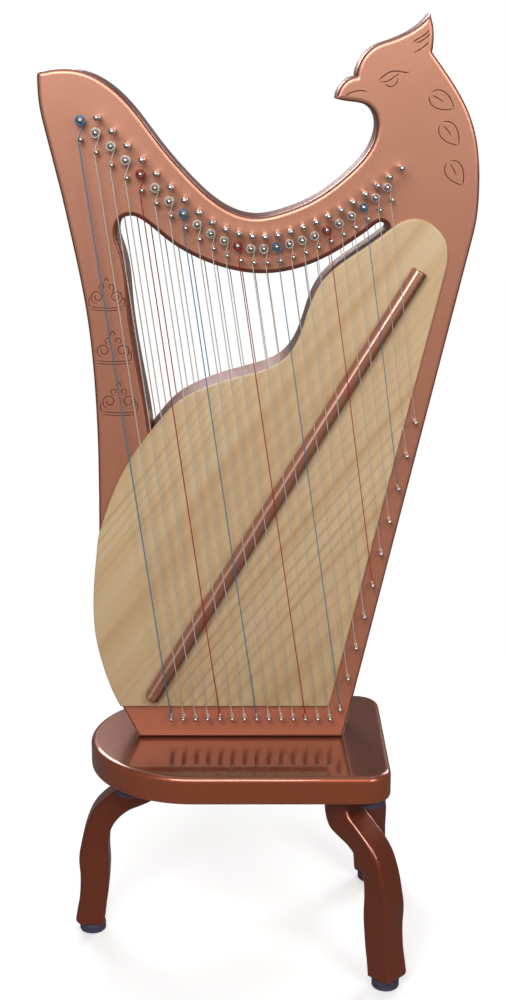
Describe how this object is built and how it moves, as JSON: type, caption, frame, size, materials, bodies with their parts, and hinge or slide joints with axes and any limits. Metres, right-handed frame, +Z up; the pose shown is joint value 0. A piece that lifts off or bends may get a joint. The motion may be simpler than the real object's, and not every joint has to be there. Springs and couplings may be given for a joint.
{
  "type": "small floor harp on a stand",
  "caption": "Small bird-headed floor harp, strung on both faces over a flat sound box, bolted to a board with three curved legs. Each string's tuning pin turns.",
  "frame": {"origin": "on the floor, under the middle of the whole object's box", "axes": "+Z up; +X towards the bird's head, to the right for someone who faces the front strings; -Y towards that person"},
  "size_m": [0.4944, 0.3152, 1.124],
  "materials": {
    "frame_paint": "satin metallic copper paint on wood",
    "soundboard_wood": "satin clear varnish on pale straight-grained wood",
    "brace_wood": "bare softwood",
    "stand_lacquer": "glossy metallic brown-copper paint on wood",
    "pin_steel": "polished nickel plate",
    "post_steel": "polished nickel plate",
    "string": "smooth nylon: pale, with every C red and every F blue",
    "rubber": "matt dark blue-grey",
    "bolt_steel": "zinc plate"
  },
  "bodies": {
    "harp": {"harp_frame": "frame_paint", "soundbox_rib": "frame_paint", "soundbox_braces": "brace_wood", "front_soundboard": "soundboard_wood", "back_soundboard": "soundboard_wood", "bridges": "frame_paint", "string_posts": "post_steel", "strings": "string", "base_board": "stand_lacquer", "legs": "stand_lacquer", "rubber_feet": "rubber", "bolts": "bolt_steel"},
    "tuning_pin_front_01": {"tuning_pin_front_01": "pin_steel"},
    "tuning_pin_front_02": {"tuning_pin_front_02": "pin_steel"},
    "tuning_pin_front_03": {"tuning_pin_front_03": "pin_steel"},
    "tuning_pin_front_04": {"tuning_pin_front_04": "pin_steel"},
    "tuning_pin_front_05": {"tuning_pin_front_05": "pin_steel"},
    "tuning_pin_front_06": {"tuning_pin_front_06": "pin_steel"},
    "tuning_pin_front_07": {"tuning_pin_front_07": "pin_steel"},
    "tuning_pin_front_08": {"tuning_pin_front_08": "pin_steel"},
    "tuning_pin_front_09": {"tuning_pin_front_09": "pin_steel"},
    "tuning_pin_front_10": {"tuning_pin_front_10": "pin_steel"},
    "tuning_pin_front_11": {"tuning_pin_front_11": "pin_steel"},
    "tuning_pin_front_12": {"tuning_pin_front_12": "pin_steel"},
    "tuning_pin_front_13": {"tuning_pin_front_13": "pin_steel"},
    "tuning_pin_front_14": {"tuning_pin_front_14": "pin_steel"},
    "tuning_pin_front_15": {"tuning_pin_front_15": "pin_steel"},
    "tuning_pin_front_16": {"tuning_pin_front_16": "pin_steel"},
    "tuning_pin_front_17": {"tuning_pin_front_17": "pin_steel"},
    "tuning_pin_front_18": {"tuning_pin_front_18": "pin_steel"},
    "tuning_pin_front_19": {"tuning_pin_front_19": "pin_steel"},
    "tuning_pin_front_20": {"tuning_pin_front_20": "pin_steel"},
    "tuning_pin_front_21": {"tuning_pin_front_21": "pin_steel"},
    "tuning_pin_front_22": {"tuning_pin_front_22": "pin_steel"},
    "tuning_pin_front_23": {"tuning_pin_front_23": "pin_steel"},
    "tuning_pin_front_24": {"tuning_pin_front_24": "pin_steel"},
    "tuning_pin_back_01": {"tuning_pin_back_01": "pin_steel"},
    "tuning_pin_back_02": {"tuning_pin_back_02": "pin_steel"},
    "tuning_pin_back_03": {"tuning_pin_back_03": "pin_steel"},
    "tuning_pin_back_04": {"tuning_pin_back_04": "pin_steel"},
    "tuning_pin_back_05": {"tuning_pin_back_05": "pin_steel"},
    "tuning_pin_back_06": {"tuning_pin_back_06": "pin_steel"},
    "tuning_pin_back_07": {"tuning_pin_back_07": "pin_steel"},
    "tuning_pin_back_08": {"tuning_pin_back_08": "pin_steel"},
    "tuning_pin_back_09": {"tuning_pin_back_09": "pin_steel"},
    "tuning_pin_back_10": {"tuning_pin_back_10": "pin_steel"},
    "tuning_pin_back_11": {"tuning_pin_back_11": "pin_steel"},
    "tuning_pin_back_12": {"tuning_pin_back_12": "pin_steel"},
    "tuning_pin_back_13": {"tuning_pin_back_13": "pin_steel"},
    "tuning_pin_back_14": {"tuning_pin_back_14": "pin_steel"},
    "tuning_pin_back_15": {"tuning_pin_back_15": "pin_steel"},
    "tuning_pin_back_16": {"tuning_pin_back_16": "pin_steel"},
    "tuning_pin_back_17": {"tuning_pin_back_17": "pin_steel"},
    "tuning_pin_back_18": {"tuning_pin_back_18": "pin_steel"},
    "tuning_pin_back_19": {"tuning_pin_back_19": "pin_steel"},
    "tuning_pin_back_20": {"tuning_pin_back_20": "pin_steel"},
    "tuning_pin_back_21": {"tuning_pin_back_21": "pin_steel"},
    "tuning_pin_back_22": {"tuning_pin_back_22": "pin_steel"},
    "tuning_pin_back_23": {"tuning_pin_back_23": "pin_steel"},
    "tuning_pin_back_24": {"tuning_pin_back_24": "pin_steel"}
  },
  "joints": [
    {"name": "front_string_01_tuning", "type": "hinge", "parent": "harp", "child": "tuning_pin_front_01", "pos_m": [-0.199, 0.019, 1.01], "axis": [0, 1, 0], "range_deg": [-120, 120]},
    {"name": "front_string_02_tuning", "type": "hinge", "parent": "harp", "child": "tuning_pin_front_02", "pos_m": [-0.1824, 0.019, 0.99639], "axis": [0, 1, 0], "range_deg": [-120, 120]},
    {"name": "front_string_03_tuning", "type": "hinge", "parent": "harp", "child": "tuning_pin_front_03", "pos_m": [-0.16596, 0.019, 0.98181], "axis": [0, 1, 0], "range_deg": [-120, 120]},
    {"name": "front_string_04_tuning", "type": "hinge", "parent": "harp", "child": "tuning_pin_front_04", "pos_m": [-0.14968, 0.019, 0.96665], "axis": [0, 1, 0], "range_deg": [-120, 120]},
    {"name": "front_string_05_tuning", "type": "hinge", "parent": "harp", "child": "tuning_pin_front_05", "pos_m": [-0.13357, 0.019, 0.95135], "axis": [0, 1, 0], "range_deg": [-120, 120]},
    {"name": "front_string_06_tuning", "type": "hinge", "parent": "harp", "child": "tuning_pin_front_06", "pos_m": [-0.11761, 0.019, 0.93628], "axis": [0, 1, 0], "range_deg": [-120, 120]},
    {"name": "front_string_07_tuning", "type": "hinge", "parent": "harp", "child": "tuning_pin_front_07", "pos_m": [-0.10182, 0.019, 0.92174], "axis": [0, 1, 0], "range_deg": [-120, 120]},
    {"name": "front_string_08_tuning", "type": "hinge", "parent": "harp", "child": "tuning_pin_front_08", "pos_m": [-0.08619, 0.019, 0.90807], "axis": [0, 1, 0], "range_deg": [-120, 120]},
    {"name": "front_string_09_tuning", "type": "hinge", "parent": "harp", "child": "tuning_pin_front_09", "pos_m": [-0.07072, 0.019, 0.89594], "axis": [0, 1, 0], "range_deg": [-120, 120]},
    {"name": "front_string_10_tuning", "type": "hinge", "parent": "harp", "child": "tuning_pin_front_10", "pos_m": [-0.05541, 0.019, 0.88583], "axis": [0, 1, 0], "range_deg": [-120, 120]},
    {"name": "front_string_11_tuning", "type": "hinge", "parent": "harp", "child": "tuning_pin_front_11", "pos_m": [-0.04026, 0.019, 0.87786], "axis": [0, 1, 0], "range_deg": [-120, 120]},
    {"name": "front_string_12_tuning", "type": "hinge", "parent": "harp", "child": "tuning_pin_front_12", "pos_m": [-0.02527, 0.019, 0.87207], "axis": [0, 1, 0], "range_deg": [-120, 120]},
    {"name": "front_string_13_tuning", "type": "hinge", "parent": "harp", "child": "tuning_pin_front_13", "pos_m": [-0.01044, 0.019, 0.86886], "axis": [0, 1, 0], "range_deg": [-120, 120]},
    {"name": "front_string_14_tuning", "type": "hinge", "parent": "harp", "child": "tuning_pin_front_14", "pos_m": [0.00422, 0.019, 0.86878], "axis": [0, 1, 0], "range_deg": [-120, 120]},
    {"name": "front_string_15_tuning", "type": "hinge", "parent": "harp", "child": "tuning_pin_front_15", "pos_m": [0.01872, 0.019, 0.87108], "axis": [0, 1, 0], "range_deg": [-120, 120]},
    {"name": "front_string_16_tuning", "type": "hinge", "parent": "harp", "child": "tuning_pin_front_16", "pos_m": [0.03307, 0.019, 0.87438], "axis": [0, 1, 0], "range_deg": [-120, 120]},
    {"name": "front_string_17_tuning", "type": "hinge", "parent": "harp", "child": "tuning_pin_front_17", "pos_m": [0.04725, 0.019, 0.87835], "axis": [0, 1, 0], "range_deg": [-120, 120]},
    {"name": "front_string_18_tuning", "type": "hinge", "parent": "harp", "child": "tuning_pin_front_18", "pos_m": [0.06127, 0.019, 0.8833], "axis": [0, 1, 0], "range_deg": [-120, 120]},
    {"name": "front_string_19_tuning", "type": "hinge", "parent": "harp", "child": "tuning_pin_front_19", "pos_m": [0.07513, 0.019, 0.88951], "axis": [0, 1, 0], "range_deg": [-120, 120]},
    {"name": "front_string_20_tuning", "type": "hinge", "parent": "harp", "child": "tuning_pin_front_20", "pos_m": [0.08882, 0.019, 0.89698], "axis": [0, 1, 0], "range_deg": [-120, 120]},
    {"name": "front_string_21_tuning", "type": "hinge", "parent": "harp", "child": "tuning_pin_front_21", "pos_m": [0.10236, 0.019, 0.90557], "axis": [0, 1, 0], "range_deg": [-120, 120]},
    {"name": "front_string_22_tuning", "type": "hinge", "parent": "harp", "child": "tuning_pin_front_22", "pos_m": [0.11573, 0.019, 0.91512], "axis": [0, 1, 0], "range_deg": [-120, 120]},
    {"name": "front_string_23_tuning", "type": "hinge", "parent": "harp", "child": "tuning_pin_front_23", "pos_m": [0.12895, 0.019, 0.9256], "axis": [0, 1, 0], "range_deg": [-120, 120]},
    {"name": "front_string_24_tuning", "type": "hinge", "parent": "harp", "child": "tuning_pin_front_24", "pos_m": [0.142, 0.019, 0.937], "axis": [0, 1, 0], "range_deg": [-120, 120]},
    {"name": "back_string_01_tuning", "type": "hinge", "parent": "harp", "child": "tuning_pin_back_01", "pos_m": [-0.179, 0.019, 1.013], "axis": [0, 1, 0], "range_deg": [-120, 120]},
    {"name": "back_string_02_tuning", "type": "hinge", "parent": "harp", "child": "tuning_pin_back_02", "pos_m": [-0.1628, 0.019, 0.99846], "axis": [0, 1, 0], "range_deg": [-120, 120]},
    {"name": "back_string_03_tuning", "type": "hinge", "parent": "harp", "child": "tuning_pin_back_03", "pos_m": [-0.14675, 0.019, 0.98321], "axis": [0, 1, 0], "range_deg": [-120, 120]},
    {"name": "back_string_04_tuning", "type": "hinge", "parent": "harp", "child": "tuning_pin_back_04", "pos_m": [-0.13085, 0.019, 0.96782], "axis": [0, 1, 0], "range_deg": [-120, 120]},
    {"name": "back_string_05_tuning", "type": "hinge", "parent": "harp", "child": "tuning_pin_back_05", "pos_m": [-0.11509, 0.019, 0.95276], "axis": [0, 1, 0], "range_deg": [-120, 120]},
    {"name": "back_string_06_tuning", "type": "hinge", "parent": "harp", "child": "tuning_pin_back_06", "pos_m": [-0.09949, 0.019, 0.93814], "axis": [0, 1, 0], "range_deg": [-120, 120]},
    {"name": "back_string_07_tuning", "type": "hinge", "parent": "harp", "child": "tuning_pin_back_07", "pos_m": [-0.08403, 0.019, 0.92394], "axis": [0, 1, 0], "range_deg": [-120, 120]},
    {"name": "back_string_08_tuning", "type": "hinge", "parent": "harp", "child": "tuning_pin_back_08", "pos_m": [-0.06872, 0.019, 0.91049], "axis": [0, 1, 0], "range_deg": [-120, 120]},
    {"name": "back_string_09_tuning", "type": "hinge", "parent": "harp", "child": "tuning_pin_back_09", "pos_m": [-0.05356, 0.019, 0.89952], "axis": [0, 1, 0], "range_deg": [-120, 120]},
    {"name": "back_string_10_tuning", "type": "hinge", "parent": "harp", "child": "tuning_pin_back_10", "pos_m": [-0.03855, 0.019, 0.89196], "axis": [0, 1, 0], "range_deg": [-120, 120]},
    {"name": "back_string_11_tuning", "type": "hinge", "parent": "harp", "child": "tuning_pin_back_11", "pos_m": [-0.02369, 0.019, 0.8871], "axis": [0, 1, 0], "range_deg": [-120, 120]},
    {"name": "back_string_12_tuning", "type": "hinge", "parent": "harp", "child": "tuning_pin_back_12", "pos_m": [-0.00897, 0.019, 0.8843], "axis": [0, 1, 0], "range_deg": [-120, 120]},
    {"name": "back_string_13_tuning", "type": "hinge", "parent": "harp", "child": "tuning_pin_back_13", "pos_m": [0.00559, 0.019, 0.88362], "axis": [0, 1, 0], "range_deg": [-120, 120]},
    {"name": "back_string_14_tuning", "type": "hinge", "parent": "harp", "child": "tuning_pin_back_14", "pos_m": [0.02001, 0.019, 0.88548], "axis": [0, 1, 0], "range_deg": [-120, 120]},
    {"name": "back_string_15_tuning", "type": "hinge", "parent": "harp", "child": "tuning_pin_back_15", "pos_m": [0.03428, 0.019, 0.88943], "axis": [0, 1, 0], "range_deg": [-120, 120]},
    {"name": "back_string_16_tuning", "type": "hinge", "parent": "harp", "child": "tuning_pin_back_16", "pos_m": [0.0484, 0.019, 0.89432], "axis": [0, 1, 0], "range_deg": [-120, 120]},
    {"name": "back_string_17_tuning", "type": "hinge", "parent": "harp", "child": "tuning_pin_back_17", "pos_m": [0.06237, 0.019, 0.89981], "axis": [0, 1, 0], "range_deg": [-120, 120]},
    {"name": "back_string_18_tuning", "type": "hinge", "parent": "harp", "child": "tuning_pin_back_18", "pos_m": [0.07619, 0.019, 0.9061], "axis": [0, 1, 0], "range_deg": [-120, 120]},
    {"name": "back_string_19_tuning", "type": "hinge", "parent": "harp", "child": "tuning_pin_back_19", "pos_m": [0.08986, 0.019, 0.9134], "axis": [0, 1, 0], "range_deg": [-120, 120]},
    {"name": "back_string_20_tuning", "type": "hinge", "parent": "harp", "child": "tuning_pin_back_20", "pos_m": [0.10339, 0.019, 0.92163], "axis": [0, 1, 0], "range_deg": [-120, 120]},
    {"name": "back_string_21_tuning", "type": "hinge", "parent": "harp", "child": "tuning_pin_back_21", "pos_m": [0.11676, 0.019, 0.93052], "axis": [0, 1, 0], "range_deg": [-120, 120]},
    {"name": "back_string_22_tuning", "type": "hinge", "parent": "harp", "child": "tuning_pin_back_22", "pos_m": [0.12999, 0.019, 0.93984], "axis": [0, 1, 0], "range_deg": [-120, 120]},
    {"name": "back_string_23_tuning", "type": "hinge", "parent": "harp", "child": "tuning_pin_back_23", "pos_m": [0.14307, 0.019, 0.94939], "axis": [0, 1, 0], "range_deg": [-120, 120]},
    {"name": "back_string_24_tuning", "type": "hinge", "parent": "harp", "child": "tuning_pin_back_24", "pos_m": [0.156, 0.019, 0.959], "axis": [0, 1, 0], "range_deg": [-120, 120]}
  ]
}
